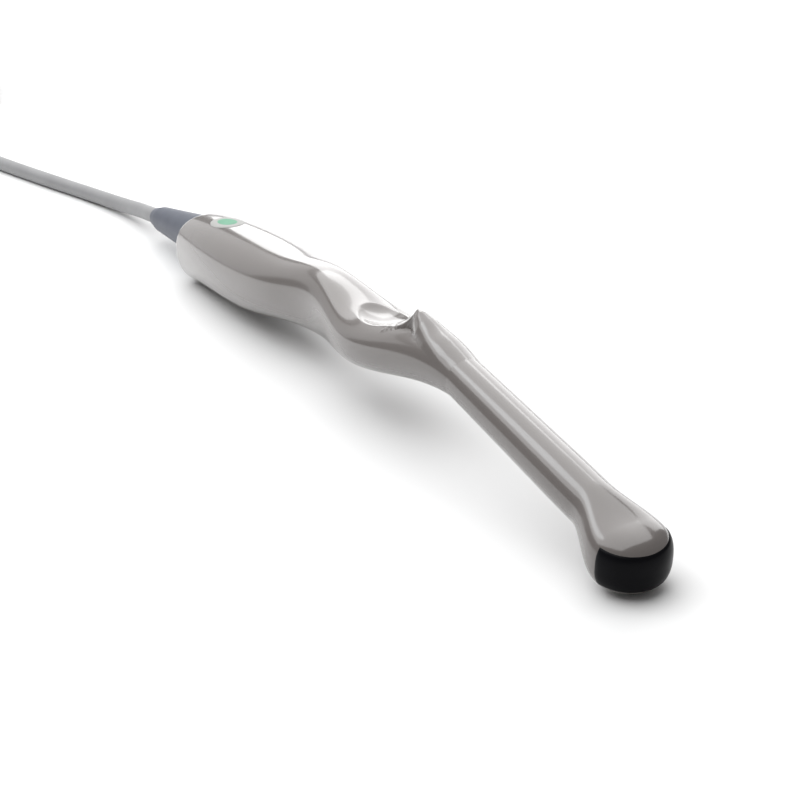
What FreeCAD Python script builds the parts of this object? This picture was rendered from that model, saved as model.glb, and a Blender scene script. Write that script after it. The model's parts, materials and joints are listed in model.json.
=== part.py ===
import FreeCAD, Part
import math
import os

import Sketcher
from FreeCAD import Placement, Rotation, Vector

# Endocavity ultrasound transducer: a hand probe with a micro-convex head, its cable,
# and the connector with a quarter-turn lock that plugs into a scanner.
#
# Probe frame, used while modelling: the lens curves about the Z axis, +X runs along the
# shaft towards the tip, +Z is the thumb side. "back" is a distance behind the lens centre.
# Every probe piece is then pitched and raised together, so that the probe lies on Z = 0
# on its head and on the heel of its handle.

PARTS_FOLDER = "parts"
DEG = math.pi / 180

SIZES = [
    # rest position
    ("rest_pitch", 10.24), ("rest_shift", 203.1), ("rest_lift", 14.89),
    # head and lens
    ("lens_radius", 13.0), ("lens_top", 3.8), ("lens_bottom", -10.0), ("lens_half_angle", 79.0),
    ("lens_ledge_radius", 9.0), ("head_half_height", 10.25), ("head_centre", -4.25),
    ("head_exponent", 2.8), ("head_wall", 2.2), ("neck_length", 21.0), ("nose_back", 36.0),
    ("neck_step", 0.06),
    # array stack
    ("stack_top", 1.2), ("stack_bottom", -8.4), ("stack_half_angle", 75.0),
    ("stack_radius", 11.6), ("layer_thickness", 0.25), ("element_thickness", 0.45),
    ("element_count", 96), ("element_kerf", 0.3), ("backing_radius", 6.0),
    # shaft
    ("shaft_nose_radius", 8.3), ("shaft_handle_radius", 7.6), ("shaft_bore", 6.1),
    ("spigot_radius", 6.7), ("nose_spigot", 9.0), ("handle_spigot", 16.0), ("handle_back", 102.0),
    ("shield_outer", 5.9), ("shield_inner", 5.6), ("seal_width", 2.0), ("seal_depth", 0.5),
    # handle shell
    ("wall", 2.6), ("section_tilt", 15.5), ("section_exponent", 2.4), ("tilt_run", 68.0),
    ("cap_length", 11.0), ("cap_height", 9.0), ("cap_width", 13.0), ("hollow_back", 112.0),
    # thumb rest, lip and badge
    ("thumb_back", 159.7), ("thumb_length", 27.0), ("thumb_width", 16.5), ("thumb_depth", 2.3),
    ("lip_foot", -4.0), ("badge_back", 313.8), ("badge_length", 23.0), ("badge_width", 13.5),
    ("badge_depth", 1.3),
    ("inlay_length", 15.5), ("inlay_width", 8.0), ("inlay_depth", 0.5),
    # cable exit
    ("exit_back", 340.0), ("exit_height", -57.5), ("exit_droop", 16.1),
    ("cable_radius", 3.75), ("relief_base", 10.5), ("relief_tip", 5.7), ("relief_length", 78.0),
    ("relief_seat", 4.0), ("relief_neck", 7.4), ("relief_flange", 8.2), ("bulkhead", 3.0),
    ("fit_gap", 0.1),
    # inside the handle
    ("board_back", 180.0), ("board_height", -20.2), ("board_slope", 12.6), ("board_length", 70.0),
    ("board_width", 14.0), ("board_thickness", 1.6), ("rib_width", 4.0),
    ("flex_thickness", 0.2), ("flex_width", 8.0),
    ("clamp_forward", 34.0), ("clamp_length", 14.0), ("clamp_width", 22.0), ("clamp_cap", 4.6),
    ("clamp_base", 10.0), ("clamp_screw_spread", 15.2), ("screw_radius", 1.25), ("screw_head", 2.3),
    # hank of spare cable
    ("hank_x", -627.0), ("hank_y", -20.2), ("hank_length", 180.0), ("hank_width", 67.5),
    ("hank_hole", 37.5), ("hank_height", 15.0), ("tie_thickness", 1.1), ("tie_width", 16.0),
    ("tie_offset", 41.0),
    # connector
    ("plug_x", -615.0), ("plug_y", 14.5), ("plug_length", 72.0), ("plug_depth", 44.0),
    ("boot_back", 16.0), ("boot_length", 24.0),
    ("plug_height", 28.0), ("plug_wall", 2.2), ("plug_round", 4.0), ("shroud_length", 58.0),
    ("shroud_height", 17.0), ("shroud_reach", 8.0), ("shroud_wall", 1.2), ("block_depth", 12.0),
    ("lock_radius", 3.0), ("knob_radius", 12.0), ("knob_height", 7.0), ("knob_stub", 5.0),
    ("lock_gap", 0.05),
]

# Handle outline at eight stations: back, thumb side, finger side, half width.
STATIONS = [
    ("neck", 102, 7.6, -7.6, 7.6),
    ("shoulder", 136, 2.2, -17.0, 11.8),
    ("bulge", 170, -8.9, -28.8, 15.0),
    ("waist", 204, -10.1, -36.4, 11.2),
    ("palm", 238, -19.1, -45.1, 14.7),
    ("grip", 272, -28.0, -57.4, 17.6),
    ("hip", 306, -36.6, -66.2, 17.8),
    ("heel", 340, -46.8, -75.8, 15.8),
]

# The lip above the thumb rest, which narrows and rises towards the rear: back, half width, top.
LIP = [(103, 7.3, 7.3), (112, 7.1, 7.9), (121, 6.7, 8.6), (129, 5.6, 9.4), (134, 3.7, 9.8), (137, 1.0, 9.6)]

# The cable's route on the floor, from the strain relief to the hank, in the row frame.
CABLE_ROUTE = [
    (-215.35, 0.0, 11.2),
    (-237.2, 0.0, 8.96),
    (-264.0, -0.9, 5.2),
    (-300.0, -7.0, 3.75),
    (-350.0, -19.4, 3.75),
    (-403.0, -31.4, 3.75),
    (-455.0, -41.2, 3.75),
    (-503.0, -47.4, 3.75),
    (-541.0, -49.9, 4.3),
    (-572.0, -50.2, 4.95),
]

# The cable's last stretch: it leaves the hank's top layer, turns back and rises to the connector.
PLUG_ROUTE = [
    (-630.0, -50.2, 12.45),
    (-650.5, -50.4, 13.2),
    (-673.0, -50.3, 18.8),
    (-695.7, -50.2, 20.3),
    (-710.3, -36.0, 23.6),
    (-710.3, -15.8, 28.3),
    (-695.7, -1.5, 31.7),
    (-675.0, -1.5, 31.7),
]

doc = FreeCAD.newDocument("EndocavityProbe")


class Size:
    """A length with its value and the spreadsheet formula that it comes from."""

    def __init__(self, text, value):
        self.text = text
        self.value = value

    def __float__(self):
        return self.value

    def __add__(self, other):
        return Size(f"({self.text} + {text_of(other)})", self.value + float(other))

    def __sub__(self, other):
        return Size(f"({self.text} - {text_of(other)})", self.value - float(other))

    def __mul__(self, other):
        return Size(f"({self.text} * {text_of(other)})", self.value * float(other))

    def __neg__(self):
        return Size(f"(-1 * {self.text})", -self.value)


def text_of(value):
    return value.text if isinstance(value, Size) else repr(float(value))


class Sheet:
    """The spreadsheet of driving dimensions; each alias reads as a Size."""

    def __init__(self):
        self.sheet = doc.addObject("Spreadsheet::Sheet", "Sizes")
        rows = list(SIZES)
        for name, back, top, bottom, half in STATIONS:
            rows += [(f"{name}_back", back), (f"{name}_top", top)]
            rows += [(f"{name}_bottom", bottom), (f"{name}_half_width", half)]
        for row, (alias, value) in enumerate(rows, start=1):
            self.sheet.set(f"A{row}", alias)
            self.sheet.set(f"B{row}", str(value))
            self.sheet.setAlias(f"B{row}", alias)
        doc.recompute()

    def __getattr__(self, alias):
        return Size(f"Sizes.{alias}", float(self.sheet.get(alias)))


size = Sheet()
subparts = []


# ---------------------------------------------------------------- helpers


def bind(item, **sizes):
    for prop, value in sizes.items():
        if isinstance(value, Size):
            item.setExpression(prop, value.text)
        else:
            setattr(item, prop, value)
    return item


def place(x=0.0, y=0.0, z=0.0, axis=(0, 0, 1), angle=0.0):
    return Placement(Vector(float(x), float(y), float(z)), Rotation(Vector(*axis), float(angle)))


def local(frame, x=0.0, y=0.0, z=0.0, axis=(0, 0, 1), angle=0.0):
    return frame.multiply(place(x, y, z, axis, angle))


def box(name, length, width, height, where):
    item = doc.addObject("Part::Box", name)
    bind(item, Length=length, Width=width, Height=height)
    item.Placement = where
    return item


def middle_box(name, length, width, height, frame, x=0.0, y=0.0, z=0.0):
    """A box centred on (x, y) of a frame, standing on z."""
    corner = local(frame, float(x) - float(length) / 2, float(y) - float(width) / 2, float(z))
    return box(name, length, width, height, corner)


def cylinder(name, radius, height, where):
    item = bind(doc.addObject("Part::Cylinder", name), Radius=radius, Height=height)
    item.Placement = where
    return item


def cone(name, base, tip, height, where):
    item = bind(doc.addObject("Part::Cone", name), Radius1=base, Radius2=tip, Height=height)
    item.Placement = where
    return item


def oval(name, length, width, height, where):
    """An upright prism of oval outline, centred on its placement."""
    outline = bind(doc.addObject("Part::Ellipse", name + "Outline"),
                   MajorRadius=length * 0.5, MinorRadius=width * 0.5)
    prism = doc.addObject("Part::Extrusion", name)
    prism.Base = outline
    prism.DirMode = "Custom"
    prism.Dir = Vector(0, 0, 1)
    prism.Solid = True
    bind(prism, LengthFwd=height)
    prism.Placement = where
    return prism


def cut(name, base, tool):
    item = doc.addObject("Part::Cut", name)
    item.Base, item.Tool = base, tool
    return item


def common(name, base, tool):
    item = doc.addObject("Part::Common", name)
    item.Base, item.Tool = base, tool
    return item


def fuse(name, pieces):
    item = doc.addObject("Part::MultiFuse", name)
    item.Shapes = pieces
    return item


def group(name, pieces):
    """Identical separate solids kept in one sub-part."""
    item = doc.addObject("Part::Compound", name)
    item.Links = pieces
    return item


def feature(name, shape):
    item = doc.addObject("Part::Feature", name)
    item.Shape = shape
    return item


def add_constraint(sketch, name, value, *constraint):
    index = sketch.addConstraint(Sketcher.Constraint(*constraint, float(value)))
    sketch.renameConstraint(index, name)
    if isinstance(value, Size):
        sketch.setExpression(f"Constraints.{name}", value.text)


def outline_sketch(body, outline, role="XZ_Plane"):
    """A closed outline of straight lines whose corners are tied to the sheet."""
    sketch = body.newObject("Sketcher::SketchObject", body.Name + "Outline")
    plane = next(f for f in body.Origin.OriginFeatures if f.Role == role)
    sketch.AttachmentSupport = [(plane, "")]
    sketch.MapMode = "FlatFace"
    corners = [Vector(float(x), float(y), 0) for x, y in outline]
    count = len(corners)
    for i in range(count):
        sketch.addGeometry(Part.LineSegment(corners[i], corners[(i + 1) % count]), False)
    for i in range(count):
        sketch.addConstraint(Sketcher.Constraint("Coincident", i, 2, (i + 1) % count, 1))
    for i, (x, y) in enumerate(outline):
        for kind, letter, value, axis in (("DistanceX", "across", x, -2), ("DistanceY", "up", y, -1)):
            if abs(float(value)) < 1e-9:
                sketch.addConstraint(Sketcher.Constraint("PointOnObject", i, 1, axis))
            else:
                add_constraint(sketch, f"{letter}{i}", value, kind, -1, 1, i, 1)
    return sketch


def turned(name, outline, where=Placement(), angle=360.0, about="H_Axis"):
    """A lathe-turned body: an outline of (along, radius) corners turned about the X axis."""
    body = doc.addObject("PartDesign::Body", name)
    sketch = outline_sketch(body, outline)
    turn = body.newObject("PartDesign::Revolution", name + "Turn")
    turn.Profile = sketch
    turn.ReferenceAxis = (sketch, [about])
    turn.Midplane = True
    bind(turn, Angle=angle)
    body.Placement = where
    return body


def ring_sector(name, inner, outer, bottom, top, half_angle):
    """A slice of a ring about the Z axis, centred on +X."""
    outline = [(inner, bottom), (outer, bottom), (outer, top), (inner, top)]
    return turned(name, outline, angle=half_angle * 2, about="V_Axis")


def padded(name, outline, thickness, where=Placement()):
    """A side outline in the XZ plane, thickened evenly both ways along Y."""
    body = doc.addObject("PartDesign::Body", name)
    sketch = outline_sketch(body, outline)
    pad = body.newObject("PartDesign::Pad", name + "Pad")
    pad.Profile = sketch
    pad.Midplane = True
    bind(pad, Length=thickness)
    body.Placement = where
    return body


def keep(item, label, frame=None):
    """Register a sub-part under its name, with the frame that carries it to its place."""
    item.Label = label
    if frame is not None:
        item.Placement = frame.multiply(item.Placement)
    subparts.append(item)
    return item


# ---------------------------------------------------------------- curved forms


def half_section(x, half_width, half_height, centre, exponent, tilt, side):
    """Half of a rounded cross-section, from its upper pole to its lower pole."""
    points = []
    steps = 12
    for i in range(steps + 1):
        angle = (90 - 180 * i / steps) * DEG
        c, s = abs(math.cos(angle)), abs(math.sin(angle))
        r = ((c / half_width) ** exponent + (s / half_height) ** exponent) ** (-1 / exponent)
        y = side * r * math.cos(angle) if 0 < i < steps else 0.0
        z = r * math.sin(angle)
        points.append(Vector(x - math.tan(tilt * DEG) * z, y, centre + z))
    curve = Part.BSplineCurve()
    curve.interpolate(Points=points, InitialTangent=Vector(0, side, 0), FinalTangent=Vector(0, -side, 0))
    return curve.toShape()


def section(x, half_width, half_height, centre, exponent, tilt=0.0):
    right = half_section(x, half_width, half_height, centre, exponent, tilt, 1)
    left = half_section(x, half_width, half_height, centre, exponent, tilt, -1)
    left.reverse()
    return Part.Wire([right, left])


def profile(values):
    """A smooth curve of one outline value against the distance back."""
    backs = [float(getattr(size, f"{name}_back")) for name, *_ in STATIONS]
    curve = Part.BSplineCurve()
    curve.interpolate(Points=[Vector(b, v, 0) for b, v in zip(backs, values)], Parameters=backs)
    return lambda back: curve.value(back).y


def station_values(kind):
    return [float(getattr(size, f"{name}_{kind}")) for name, *_ in STATIONS]


top_line = profile(station_values("top"))
bottom_line = profile(station_values("bottom"))
width_line = profile(station_values("half_width"))
heel_back = float(size.heel_back)
tail_slope = (top_line(heel_back) - top_line(heel_back - 20) + bottom_line(heel_back)
              - bottom_line(heel_back - 20)) / 40


def handle_section(back, inset=0.0):
    """The handle's cross-section wire at a distance back, shrunk by an inset."""
    past = max(0.0, back - heel_back)
    at = min(back, heel_back)
    swing = math.asin(min(1.0, past / (float(size.cap_length) - inset)))
    fall = tail_slope * past
    top = top_line(at) + fall - float(size.cap_height) * (1 - math.cos(swing)) - inset
    bottom = bottom_line(at) + fall + float(size.cap_height) * (1 - math.cos(swing)) + inset
    half = width_line(at) - float(size.cap_width) * (1 - math.cos(swing)) - inset
    ease = min(1.0, (back - float(size.handle_back)) / float(size.tilt_run))
    ease = ease * ease * (3 - 2 * ease)
    exponent = 2 + (float(size.section_exponent) - 2) * ease
    tilt = float(size.section_tilt) * ease
    return section(-back, half, (top - bottom) / 2, (top + bottom) / 2, exponent, tilt)


def handle_form(front, inset=0.0, spacing=8.5):
    """A solid lofted along the handle, with a rounded rear cap."""
    steps = round((heel_back - front) / spacing)
    backs = [front + (heel_back - front) * i / steps for i in range(steps + 1)]
    cap = float(size.cap_length) - inset
    backs += [heel_back + cap * math.sin(angle * DEG) for angle in (20, 40, 58, 74, 88)]
    return Part.makeLoft([handle_section(back, inset) for back in backs], True, False)


def disc_form(radius, half_height):
    """The head's rounded disc, turned about the lens axis."""
    centre = float(size.head_centre)
    pole = Part.LineSegment(Vector(0, 0, centre - half_height), Vector(0, 0, centre + half_height))
    edge = half_section(0, radius, half_height, centre, float(size.head_exponent), 0.0, 1)
    return Part.Face(Part.Wire([edge, pole.toShape()])).revolve(Vector(0, 0, 0), Vector(0, 0, 1), 360)


def neck_form(radius, half_height, shaft_radius, step):
    """The neck, which flows from the shaft's circle into the disc's section at X = 0.

    It stays a hair's step inside both, so that their edges never coincide."""
    centre, length = float(size.head_centre), float(size.neck_length)
    wires = []
    steps = 8
    for i in range(steps + 1):
        along = i / steps
        ease = along * along * (3 - 2 * along)
        wires.append(section(
            -length * (1 - along),
            shaft_radius - step + (radius - shaft_radius) * ease,
            shaft_radius - step + (half_height - shaft_radius) * ease,
            centre * ease,
            2 + (float(size.head_exponent) - 2) * ease,
        ))
    return Part.makeLoft(wires, True, False)


# ---------------------------------------------------------------- rest position

rest = place(size.rest_shift, 0, size.rest_lift).multiply(place(axis=(0, 1, 0), angle=size.rest_pitch))


# ---------------------------------------------------------------- head and array


def make_head():
    wall = float(size.head_wall)
    radius, half_height = float(size.lens_radius), float(size.head_half_height)
    nose_radius, bore_radius = float(size.shaft_nose_radius), float(size.shaft_bore)
    disc = feature("DiscForm", disc_form(radius, half_height))
    disc_hollow = feature("DiscHollow", disc_form(radius - wall, half_height - wall))
    window = ring_sector("WindowTool", size.lens_ledge_radius - 0.5, size.lens_radius + 2,
                         size.lens_bottom, size.lens_top, size.lens_half_angle)
    disc_shell = cut("WindowedDisc", cut("DiscShell", disc, disc_hollow), window)
    front = common("NoseFront", disc_shell, box("FrontSpace", 30, 60, 60, place(0, -30, -40)))
    step = float(size.neck_step)
    neck = cut("NeckShell", feature("NeckForm", neck_form(radius, half_height, nose_radius, step)),
               feature("NeckHollow", neck_form(radius - wall, half_height - wall, bore_radius, step)))
    back, ledge = -size.nose_back, -size.nose_back + size.nose_spigot
    socket = size.spigot_radius + size.fit_gap * 0.5
    stub = turned("NoseStub", [
        (back, socket), (ledge, socket), (ledge, size.shaft_bore), (-size.neck_length, size.shaft_bore),
        (-size.neck_length, size.shaft_nose_radius), (back, size.shaft_nose_radius)])
    doc.recompute()
    nose = front.Shape.fuse(neck.Shape).fuse(stub.Shape)
    keep(feature("NoseShell", nose), "nose_shell", rest)

    lens_disc = feature("LensForm", disc.Shape.copy())
    lens_ring = ring_sector("LensRing", size.lens_ledge_radius, size.lens_radius + 1,
                            size.lens_bottom, size.lens_top, size.lens_half_angle)
    pocket = ring_sector("LensPocket", size.lens_ledge_radius - 1, size.stack_radius,
                         size.stack_bottom, size.stack_top, size.stack_half_angle)
    lens_blank = common("LensBlank", lens_disc, lens_ring)
    keep(cut("Lens", lens_blank, pocket), "acoustic_lens", rest)

    layer = size.layer_thickness
    outer = size.stack_radius
    low, high, spread = size.stack_bottom, size.stack_top, size.stack_half_angle
    keep(ring_sector("OuterMatching", outer - layer, outer, low, high, spread),
         "outer_matching_layer", rest)
    keep(ring_sector("InnerMatching", outer - layer * 2, outer - layer, low, high, spread),
         "inner_matching_layer", rest)
    crystal = outer - layer * 2
    elements = []
    count = int(float(size.element_count))
    pitch = 2 * (float(spread) - 1) / count
    blank = Part.makeCylinder(float(crystal), float(high) - float(low), Vector(0, 0, float(low)),
                              Vector(0, 0, 1), pitch - float(size.element_kerf))
    core = Part.makeCylinder(float(crystal - size.element_thickness), 30, Vector(0, 0, -15))
    element = blank.cut(core)
    for i in range(count):
        copy = element.copy()
        copy.rotate(Vector(0, 0, 0), Vector(0, 0, 1), pitch * (i - count / 2))
        elements.append(copy)
    keep(feature("Elements", Part.makeCompound(elements)), "piezo_elements", rest)
    keep(ring_sector("Backing", size.backing_radius, crystal - size.element_thickness, low, high,
                     spread - 1), "backing_block", rest)
    hub = cylinder("CarrierHub", size.backing_radius, high - low, place(0, 0, low))
    tail = box("CarrierTail", 13, 9, 6.4, place(-13, -4.5, -6.6))
    keep(fuse("Carrier", [hub, tail]), "array_carrier", rest)


# ---------------------------------------------------------------- shaft


def make_shaft():
    front, back = -size.nose_back, -size.handle_back
    seal_front = back - size.handle_spigot * 0.5
    groove = size.spigot_radius - size.seal_depth
    outline = [
        (front + size.nose_spigot, size.shaft_bore), (front + size.nose_spigot, size.spigot_radius),
        (front, size.spigot_radius), (front, size.shaft_nose_radius),
        (back, size.shaft_handle_radius), (back, size.spigot_radius),
        (seal_front, size.spigot_radius), (seal_front, groove),
        (seal_front - size.seal_width, groove), (seal_front - size.seal_width, size.spigot_radius),
        (back - size.handle_spigot, size.spigot_radius), (back - size.handle_spigot, size.shaft_bore),
    ]
    keep(turned("ShaftTube", outline), "shaft_tube", rest)
    seal = [(seal_front - size.seal_width, groove), (seal_front, groove),
            (seal_front, size.spigot_radius), (seal_front - size.seal_width, size.spigot_radius)]
    keep(turned("ShaftSeal", seal), "shaft_seal", rest)
    shield = [(front + size.nose_spigot, size.shield_inner), (front + size.nose_spigot, size.shield_outer),
              (back - size.handle_spigot, size.shield_outer), (back - size.handle_spigot, size.shield_inner)]
    keep(turned("ShieldTube", shield), "shaft_shield_tube", rest)


def strip(points, thickness):
    """The outline of a thin bent strip, from its centre line, offset up by its thickness."""
    upper = [(x, z + thickness) for x, z in reversed(points)]
    return list(points) + upper


def make_flexes():
    lower = [(-13.1, -5.2), (-24.0, -3.2), (-122.0, -3.2), (-156.0, -19.0), (-181.2, -22.6)]
    upper = [(-13.1, 0.3), (-26.0, 3.0), (-112.0, 3.0), (-148.0, -10.0), (-181.2, -19.0)]
    for name, label, points in (("FlexLower", "lower_flex_circuit", lower),
                                ("FlexUpper", "upper_flex_circuit", upper)):
        keep(padded(name, strip(points, float(size.flex_thickness)), size.flex_width), label, rest)


# ---------------------------------------------------------------- handle

board_frame = place(-size.board_back, 0, size.board_height, (0, 1, 0), -float(size.board_slope))
exit_frame = place(-size.exit_back, 0, size.exit_height, (0, 1, 0), -float(size.exit_droop))
BACKWARDS = (0, 1, 0)


def surface_frame(back):
    """A frame on the thumb side's centre line, with Z along the surface's normal."""
    ease = min(1.0, (back - float(size.handle_back)) / float(size.tilt_run))
    tilt = math.tan(float(size.section_tilt) * ease * DEG)
    slope = (top_line(back + 2) - top_line(back - 2)) / 4
    half = (top_line(back) - bottom_line(back)) / 2
    angle = math.degrees(math.atan(slope))
    return place(-back - tilt * half, 0, top_line(back), (0, 1, 0), angle)


def make_handle():
    form = feature("HandleForm", handle_form(float(size.handle_back)))
    foot = float(size.lip_foot)
    lip_wires = [section(-back, half, (top - foot) / 2, (top + foot) / 2, 2) for back, half, top in LIP]
    lip = feature("Lip", Part.makeLoft(lip_wires, True, False))
    outside = fuse("HandleOutside", [form, lip])
    hollow = feature("HandleHollow", handle_form(float(size.hollow_back), float(size.wall)))

    thumb = surface_frame(float(size.thumb_back))
    rise = 6.0

    def thumb_bowl(name, extra):
        bowl = doc.addObject("Part::Ellipsoid", name)
        depth = float(size.thumb_depth)
        grow = 1 / math.sqrt(1 - (rise / (rise + depth)) ** 2)
        bind(bowl, Radius1=size.thumb_depth + rise + extra,
             Radius2=size.thumb_length * (0.5 * grow) + extra,
             Radius3=size.thumb_width * (0.5 * grow) + extra)
        bowl.Angle1 = -90
        bowl.Placement = local(thumb, 0, 0, rise)
        return bowl

    span = size.board_width + 20
    board_ribs = [middle_box(f"BoardRib{i}", size.rib_width, span, 30, board_frame, -along, 0,
                             -30 - float(size.board_thickness) / 2)
                  for i, along in enumerate((12.0, 58.0))]
    clamp_rib = middle_box("ClampRib", size.clamp_length, size.clamp_width, 30, exit_frame,
                           size.clamp_forward, 0, -30 - float(size.clamp_base))
    wall_slab = middle_box("BulkheadSlab", size.bulkhead, 60, 60, exit_frame,
                           float(size.relief_seat) + float(size.bulkhead) / 2, 0, -30)
    solids = fuse("InnerSolids", board_ribs + [clamp_rib, wall_slab, thumb_bowl("ThumbPad", 2.2)])
    cavity = cut("HandleCavity", hollow, solids)

    spigot_bore = cylinder("SpigotBore", size.spigot_radius + size.fit_gap * 0.5,
                           size.handle_spigot + 0.6,
                           place(-size.handle_back - size.handle_spigot - 0.5, axis=(0, 1, 0), angle=90))
    exit_axis = local(exit_frame, float(size.relief_seat), 0, 0, BACKWARDS, -90)
    relief_pocket = cone("ReliefPocket", size.relief_base + size.fit_gap, size.relief_tip,
                         size.relief_length, exit_axis)
    neck_bore = cylinder("NeckBore", size.relief_neck + size.fit_gap, 30,
                         local(exit_frame, 16, 0, 0, BACKWARDS, -90))
    badge_frame = local(surface_frame(float(size.badge_back)), 0, 0, -float(size.badge_depth))
    badge_well = oval("BadgeWell", size.badge_length, size.badge_width, 6, badge_frame)
    voids = fuse("HandleVoids", [cavity, spigot_bore, relief_pocket, neck_bore,
                                 thumb_bowl("ThumbBowl", 0), badge_well])
    shell = cut("HandleShell", outside, voids)

    backs = [float(size.handle_back) - 2 + 12 * i for i in range(22)]
    middle = [Vector(-b, 0, (top_line(min(max(b, 102), 340)) + bottom_line(min(max(b, 102), 340))) / 2)
              for b in backs]
    middle[-1] = middle[-2] + (middle[-2] - middle[-3])
    parting = Part.BSplineCurve()
    parting.interpolate(middle)
    corners = [middle[-1], middle[-1] + Vector(0, 0, 90), Vector(middle[0].x, 0, middle[-1].z + 90),
               middle[0]]
    edges = [parting.toShape()]
    edges += [Part.LineSegment(a, b).toShape() for a, b in zip(corners, corners[1:])]
    face = Part.Face(Part.Wire(edges))
    face.translate(Vector(0, -40, 0))
    above = feature("AboveParting", face.extrude(Vector(0, 80, 0)))
    keep(common("UpperShell", shell, above), "handle_shell_upper", rest)
    keep(cut("LowerShell", shell, above), "handle_shell_lower", rest)

    badge_stock = oval("BadgeStock", size.badge_length - 0.2, size.badge_width - 0.2, 6, badge_frame)
    badge_body = common("BadgeBody", badge_stock, form)
    inlay_frame = local(surface_frame(float(size.badge_back)), 0, 0, -float(size.inlay_depth) - 0.35)
    inlay_well = oval("InlayWell", size.inlay_length, size.inlay_width, 6, inlay_frame)
    keep(cut("BadgePlate", badge_body, inlay_well), "badge_plate", rest)
    inlay_stock = oval("InlayStock", size.inlay_length - 0.1, size.inlay_width - 0.1, 6, inlay_frame)
    keep(common("BadgeInlay", inlay_stock, form), "badge_inlay", rest)


def make_handle_electronics():
    thickness = size.board_thickness
    board = middle_box("Board", size.board_length, size.board_width, thickness, board_frame,
                       -size.board_length * 0.5, 0, -thickness * 0.5)
    holes = [cylinder(f"BoardHole{i}", 1.1, 6, local(board_frame, -along, 0, -3))
             for i, along in enumerate((12.0, 58.0))]
    keep(cut("TerminationBoard", board, fuse("BoardHoles", holes)), "termination_board", rest)
    screws = []
    for i, along in enumerate((12.0, 58.0)):
        head = cylinder(f"BoardScrewHead{i}", 1.9, 1.2, local(board_frame, -along, 0, 0.8))
        shank = cylinder(f"BoardScrewShank{i}", 1.0, 1.6, local(board_frame, -along, 0, -0.8))
        screws.append(fuse(f"BoardScrew{i}", [head, shank]))
    keep(group("BoardScrews", screws), "board_screws", rest)
    sockets = [
        middle_box("UpperSocket", 5, 12, 2.2, board_frame, -4.5, 0, 0.8),
        middle_box("LowerSocket", 5, 12, 2.2, board_frame, -4.5, 0, -3.0),
    ]
    keep(group("FlexSockets", sockets), "flex_sockets", rest)
    chips = [middle_box(f"Chip{i}", 7, 7, 1.0, board_frame, -along, 0, 0.8)
             for i, along in enumerate((22.0, 33.0, 44.0))]
    keep(group("BoardChips", chips), "preamp_chips", rest)

    start = local(board_frame, -float(size.board_length) - 0.3, 0, 0).Base
    ferrule_front = local(exit_frame, float(size.clamp_forward) + 22.7, 0, 0).Base
    wires = []
    steps = 6
    for i in range(steps + 1):
        along = i / steps
        ease = along * along * (3 - 2 * along)
        centre = start + (ferrule_front - start) * along
        wires.append(section(centre.x, 6.0 + (2.6 - 6.0) * ease, 1.3 + (2.6 - 1.3) * ease, centre.z, 2))
    keep(feature("CoaxBundle", Part.makeLoft(wires, True, False)), "coax_bundle", rest)


def make_cable_exit():
    reach = float(size.clamp_forward)
    forward = reach + 22
    core = 2.6
    jacket = [(forward - 14, 0), (forward - 14, size.cable_radius),
              (-size.relief_length + size.relief_seat, size.cable_radius),
              (-size.relief_length + size.relief_seat, 0)]
    keep(turned("JacketEnd", jacket, exit_frame), "cable_jacket_end", rest)
    ferrule = [(forward - 13.9, 0), (forward - 13.9, 4.4), (forward - 7, 4.4), (forward - 7, 3.2),
               (forward - 0.3, 3.2), (forward - 0.3, 0)]
    keep(turned("Ferrule", ferrule, exit_frame), "ground_ferrule", rest)

    spread = float(size.clamp_screw_spread) / 2
    groove = cylinder("ClampGroove", size.cable_radius, 60,
                      local(exit_frame, reach - 30, 0, 0, BACKWARDS, 90))
    base_stock = middle_box("ClampBaseStock", size.clamp_length, size.clamp_width,
                            size.clamp_base - 0.1, exit_frame, reach, 0, -size.clamp_base)
    cap_stock = middle_box("ClampCapStock", size.clamp_length, size.clamp_width,
                           size.clamp_cap - 0.1, exit_frame, reach, 0, 0.1)
    shanks = [cylinder(f"ClampHole{i}", size.screw_radius, size.clamp_cap + 5,
                       local(exit_frame, reach, side * spread, -5))
              for i, side in enumerate((-1, 1))]
    channel = fuse("ClampChannel", [groove] + shanks)
    keep(cut("ClampBase", base_stock, channel), "cable_clamp_base", rest)
    keep(cut("ClampCap", cap_stock, channel), "cable_clamp_cap", rest)
    screws = []
    for i, side in enumerate((-1, 1)):
        outline = [(-5, 0), (-5, size.screw_radius), (size.clamp_cap, size.screw_radius),
                   (size.clamp_cap, size.screw_head), (size.clamp_cap + 1.7, size.screw_head),
                   (size.clamp_cap + 1.7, 0)]
        screws.append(turned(f"ClampScrew{i}", outline,
                             local(exit_frame, reach, side * spread, 0, (0, 1, 0), -90)))
    keep(group("ClampScrews", screws), "clamp_screws", rest)

    seat, wall = size.relief_seat, size.bulkhead
    hole = size.cable_radius + 0.02
    outline = [
        (seat + wall + 4, hole), (seat + wall + 4, size.relief_flange),
        (seat + wall + 0.1, size.relief_flange), (seat + wall + 0.1, size.relief_neck),
        (seat, size.relief_neck), (seat, size.relief_base),
        (seat - size.relief_length + 3, size.relief_tip + 0.2),
        (seat - size.relief_length, size.relief_tip - 1.1), (seat - size.relief_length, hole),
    ]
    keep(turned("StrainRelief", outline, exit_frame), "strain_relief", rest)


# ---------------------------------------------------------------- cable


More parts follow.
